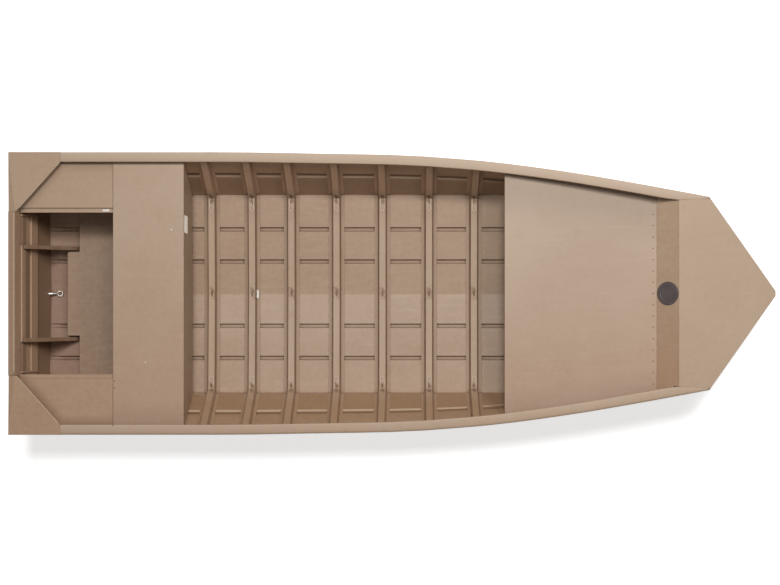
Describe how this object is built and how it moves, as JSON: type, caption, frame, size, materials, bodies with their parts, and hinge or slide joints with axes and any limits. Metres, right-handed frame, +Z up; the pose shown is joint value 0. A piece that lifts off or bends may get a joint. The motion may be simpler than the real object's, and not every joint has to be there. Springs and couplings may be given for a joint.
{
  "type": "jon boat",
  "caption": "Flat, all-welded aluminium jon boat with a pointed modified-V bow, ribbed open cockpit, decks and an outboard transom.",
  "frame": {"origin": "centre of the boat's plan at floor level, under the keel strip", "axes": "+X towards the bow, +Y to port, +Z up"},
  "size_m": [4.915, 1.816, 0.57],
  "materials": {
    "hull_paint": "flat tan paint on welded aluminium",
    "deck_plate": "dark grey moulded plastic",
    "bright_fitting": "bare metal, slightly worn",
    "blank_plate": "pale blank plate"
  },
  "bodies": {
    "root": {"aft_rib_1": "hull_paint", "aft_rib_2": "hull_paint", "battery_tray": "hull_paint", "bow_bottom_port": "hull_paint", "bow_bottom_starboard": "hull_paint", "bow_bulkhead": "hull_paint", "bow_deck": "hull_paint", "bow_eye": "bright_fitting", "capacity_plate": "blank_plate", "chine_port": "hull_paint", "chine_starboard": "hull_paint", "corner_gusset_port": "hull_paint", "corner_gusset_starboard": "hull_paint", "deck_plate_lid": "deck_plate", "deck_plate_ring": "deck_plate", "drain_plug": "bright_fitting", "drain_tube": "bright_fitting", "forward_rib_1": "hull_paint", "forward_rib_2": "hull_paint", "forward_rib_3": "hull_paint", "front_deck": "hull_paint", "gunwale_port": "hull_paint", "gunwale_starboard": "hull_paint", "hull_bottom": "hull_paint", "keel_strip": "hull_paint", "knee_port": "hull_paint", "knee_starboard": "hull_paint", "motor_plate": "hull_paint", "rear_bulkhead": "hull_paint", "rear_deck": "hull_paint", "rib_1": "hull_paint", "rib_2": "hull_paint", "rib_3": "hull_paint", "rib_4": "hull_paint", "rib_5": "hull_paint", "rib_6": "hull_paint", "rib_7": "hull_paint", "side_box_port": "hull_paint", "side_box_starboard": "hull_paint", "side_plate_port": "hull_paint", "side_plate_starboard": "hull_paint", "transom_board": "hull_paint", "transom_bracket_port": "hull_paint", "transom_bracket_starboard": "hull_paint", "transom_cap": "hull_paint", "transom_skin": "hull_paint", "transom_stiffener": "hull_paint"}
  },
  "joints": []
}
